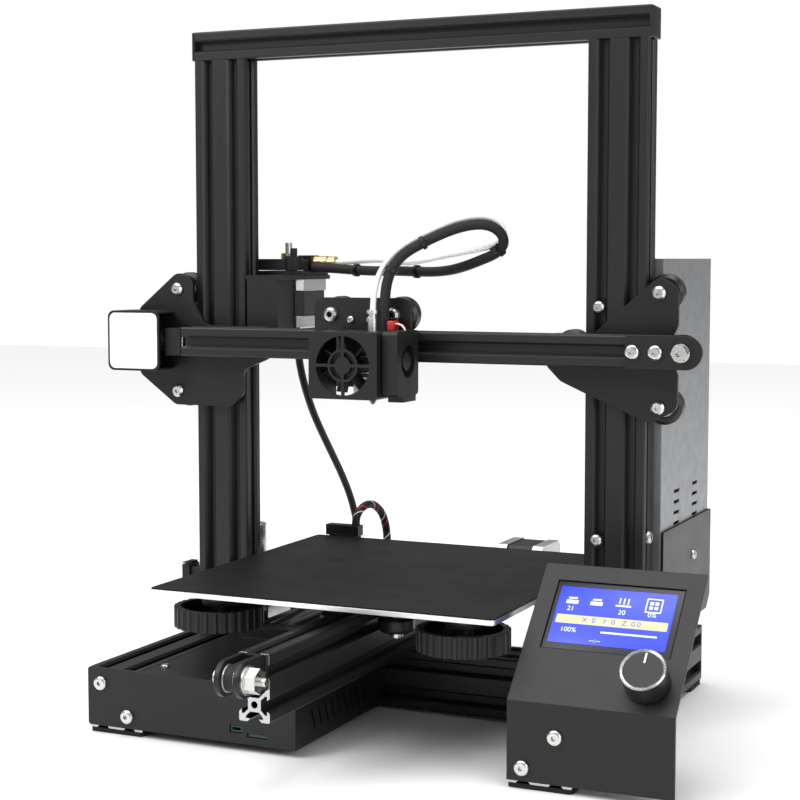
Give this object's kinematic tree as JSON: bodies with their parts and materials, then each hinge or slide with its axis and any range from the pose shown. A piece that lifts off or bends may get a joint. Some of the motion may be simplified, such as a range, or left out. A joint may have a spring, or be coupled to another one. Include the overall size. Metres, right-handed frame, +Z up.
{
  "type": "fdm printer",
  "caption": "Open-frame filament printer: slotted black profiles, moving bed, gantry on a lead screw, print head on a beam, tilted screen.",
  "frame": {"origin": "centre of the footprint's box, on the table under the rubber feet", "axes": "+Z up, -Y towards the user and the screen, +X to the user's right (screen side)"},
  "size_m": [0.4454, 0.4214, 0.465],
  "materials": {
    "black_profile": "black anodised, satin",
    "black_sheet": "satin black powder coat",
    "black_plastic": "matt",
    "rubber": "matt",
    "bright_steel": "bright plated",
    "steel_case": "galvanised sheet",
    "motor": "black laminations with bare end caps",
    "brass": "machined",
    "bed_aluminium": "rolled sheet",
    "build_film": "fine grained black film",
    "spring_steel": "plated",
    "board": "circuit board",
    "screen": "lit blue display",
    "knob": "black with bright rim",
    "wheel": "acetal tyre",
    "tube": "white fluoropolymer",
    "cable": "black sleeve",
    "heat_sink": "machined"
  },
  "bodies": {
    "frame": {"side_rails": "black_profile", "rubber_feet": "rubber", "cross_beam": "black_profile", "y_rail": "black_profile", "uprights": "black_profile", "top_bar": "black_profile", "control_box": "black_sheet", "mainboard": "board", "frame_screws": "bright_steel", "lcd_bracket": "black_sheet", "lcd_screen": "screen", "psu_case": "steel_case", "psu_cover": "black_plastic", "z_motor": "motor", "y_tensioner": "black_sheet", "y_motor": "motor", "z_switch": "black_plastic", "gantry_cable": "cable", "bed_cable": "cable"},
    "bed": {"bed_plate": "bed_aluminium", "build_surface": "build_film", "bed_carriage": "black_sheet", "bed_screws": "spring_steel", "bed_wheels": "wheel"},
    "gantry": {"x_beam": "black_profile", "gantry_plates": "black_sheet", "gantry_screws": "bright_steel", "x_motor": "motor", "x_motor_cover": "black_sheet", "x_switch": "black_plastic", "x_tensioner": "black_sheet", "extruder_motor": "motor", "extruder_body": "black_plastic", "tube_fittings": "brass", "feed_tube": "tube", "head_loom": "cable"},
    "carriage": {"carriage_plate": "black_sheet", "fan_shroud": "black_sheet", "hotend": "heat_sink", "blower": "black_plastic"},
    "lead_screw": {"lead_screw": "bright_steel"},
    "lcd_knob": {"lcd_knob": "knob"},
    "power_rocker": {"power_rocker": "black_plastic"},
    "y_idler": {"y_idler": "heat_sink"},
    "extruder_gear": {"extruder_gear": "brass"},
    "extruder_lever": {"extruder_lever": "black_plastic"},
    "fan_rotor": {"fan_rotor": "black_plastic"},
    "wheel_left_upper": {"wheel_left_upper": "wheel"},
    "wheel_left_lower": {"wheel_left_lower": "wheel"},
    "wheel_left_inner": {"wheel_left_inner": "wheel"},
    "wheel_right_upper": {"wheel_right_upper": "wheel"},
    "wheel_right_lower": {"wheel_right_lower": "wheel"},
    "wheel_right_inner": {"wheel_right_inner": "wheel"},
    "wheel_head_upper_left": {"wheel_head_upper_left": "wheel"},
    "wheel_head_upper_right": {"wheel_head_upper_right": "wheel"},
    "wheel_head_lower": {"wheel_head_lower": "wheel"},
    "bed_knob_left_front": {"bed_knob_left_front": "black_plastic"},
    "bed_knob_left_back": {"bed_knob_left_back": "black_plastic"},
    "bed_knob_right_front": {"bed_knob_right_front": "black_plastic"},
    "bed_knob_right_back": {"bed_knob_right_back": "black_plastic"}
  },
  "joints": [
    {"name": "z_axis", "type": "slide", "parent": "frame", "child": "gantry", "axis": [0, 0, 1], "range_m": [-0.113, 0.137], "deforming": ["gantry_cable"]},
    {"name": "y_axis", "type": "slide", "parent": "frame", "child": "bed", "axis": [0, 1, 0], "range_m": [-0.132, 0.084], "deforming": ["bed_cable"]},
    {"name": "x_axis", "type": "slide", "parent": "gantry", "child": "carriage", "axis": [1, 0, 0], "range_m": [-0.11, 0.11], "deforming": ["feed_tube", "head_loom"]},
    {"name": "lead_screw_turn", "type": "hinge", "parent": "frame", "child": "lead_screw", "pos_m": [-0.14775, 0.08142, 0.25], "axis": [0, 0, 1], "continuous": true},
    {"name": "left_upper_roll", "type": "hinge", "parent": "gantry", "child": "wheel_left_upper", "pos_m": [-0.1785, 0.04643, 0.285], "axis": [0, 1, 0], "continuous": true},
    {"name": "left_lower_roll", "type": "hinge", "parent": "gantry", "child": "wheel_left_lower", "pos_m": [-0.1785, 0.04643, 0.213], "axis": [0, 1, 0], "continuous": true},
    {"name": "left_inner_roll", "type": "hinge", "parent": "gantry", "child": "wheel_left_inner", "pos_m": [-0.117, 0.04643, 0.249], "axis": [0, 1, 0], "continuous": true},
    {"name": "right_upper_roll", "type": "hinge", "parent": "gantry", "child": "wheel_right_upper", "pos_m": [0.173, 0.04643, 0.285], "axis": [0, 1, 0], "continuous": true},
    {"name": "right_lower_roll", "type": "hinge", "parent": "gantry", "child": "wheel_right_lower", "pos_m": [0.173, 0.04643, 0.213], "axis": [0, 1, 0], "continuous": true},
    {"name": "right_inner_roll", "type": "hinge", "parent": "gantry", "child": "wheel_right_inner", "pos_m": [0.1115, 0.04643, 0.249], "axis": [0, 1, 0], "continuous": true},
    {"name": "head_upper_left_roll", "type": "hinge", "parent": "carriage", "child": "wheel_head_upper_left", "pos_m": [-0.04325, 0.01843, 0.26975], "axis": [0, 1, 0], "continuous": true},
    {"name": "head_upper_right_roll", "type": "hinge", "parent": "carriage", "child": "wheel_head_upper_right", "pos_m": [0.00175, 0.01843, 0.26975], "axis": [0, 1, 0], "continuous": true},
    {"name": "head_lower_roll", "type": "hinge", "parent": "carriage", "child": "wheel_head_lower", "pos_m": [-0.02075, 0.01843, 0.22825], "axis": [0, 1, 0], "continuous": true},
    {"name": "y_idler_turn", "type": "hinge", "parent": "frame", "child": "y_idler", "pos_m": [-0.00275, -0.19917, 0.073], "axis": [1, 0, 0], "continuous": true},
    {"name": "level_left_front", "type": "hinge", "parent": "bed", "child": "bed_knob_left_front", "pos_m": [-0.08775, -0.07107, 0.078], "axis": [0, 0, 1], "continuous": true},
    {"name": "level_left_back", "type": "hinge", "parent": "bed", "child": "bed_knob_left_back", "pos_m": [-0.08775, 0.09892, 0.078], "axis": [0, 0, 1], "continuous": true},
    {"name": "level_right_front", "type": "hinge", "parent": "bed", "child": "bed_knob_right_front", "pos_m": [0.08225, -0.07107, 0.078], "axis": [0, 0, 1], "continuous": true},
    {"name": "level_right_back", "type": "hinge", "parent": "bed", "child": "bed_knob_right_back", "pos_m": [0.08225, 0.09892, 0.078], "axis": [0, 0, 1], "continuous": true},
    {"name": "screen_knob_turn", "type": "hinge", "parent": "frame", "child": "lcd_knob", "pos_m": [0.20275, -0.08987, 0.06709], "axis": [0, -0.7112, 0.703], "continuous": true},
    {"name": "power_rocker_tilt", "type": "hinge", "parent": "frame", "child": "power_rocker", "pos_m": [0.14325, 0.17542, 0.076], "axis": [1, 0, 0], "range_deg": [-12, 12]},
    {"name": "extruder_gear_turn", "type": "hinge", "parent": "gantry", "child": "extruder_gear", "pos_m": [-0.11575, 0.07842, 0.3], "axis": [0, 0, 1], "continuous": true},
    {"name": "extruder_lever_press", "type": "hinge", "parent": "gantry", "child": "extruder_lever", "pos_m": [-0.10375, 0.06342, 0.302], "axis": [0, 0, 1], "range_deg": [-10, 0], "stiffness_Nm_per_rad": 2, "springref_deg": 5.73},
    {"name": "fan_spin", "type": "hinge", "parent": "carriage", "child": "fan_rotor", "pos_m": [-0.015, -0.03358, 0.2385], "axis": [0, 1, 0], "continuous": true}
  ],
  "couplings": [
    {"joint": "lead_screw_turn", "follows": "z_axis", "rad_per_m": 785.4},
    {"joint": "left_upper_roll", "follows": "z_axis", "rad_per_m": 93.023},
    {"joint": "left_lower_roll", "follows": "z_axis", "rad_per_m": 93.023},
    {"joint": "left_inner_roll", "follows": "z_axis", "rad_per_m": -93.023},
    {"joint": "right_upper_roll", "follows": "z_axis", "rad_per_m": -93.023},
    {"joint": "right_lower_roll", "follows": "z_axis", "rad_per_m": -93.023},
    {"joint": "right_inner_roll", "follows": "z_axis", "rad_per_m": 93.023},
    {"joint": "head_upper_left_roll", "follows": "x_axis", "rad_per_m": 93.023},
    {"joint": "head_upper_right_roll", "follows": "x_axis", "rad_per_m": 93.023},
    {"joint": "head_lower_roll", "follows": "x_axis", "rad_per_m": -93.023},
    {"joint": "y_idler_turn", "follows": "y_axis", "rad_per_m": -166.67}
  ]
}
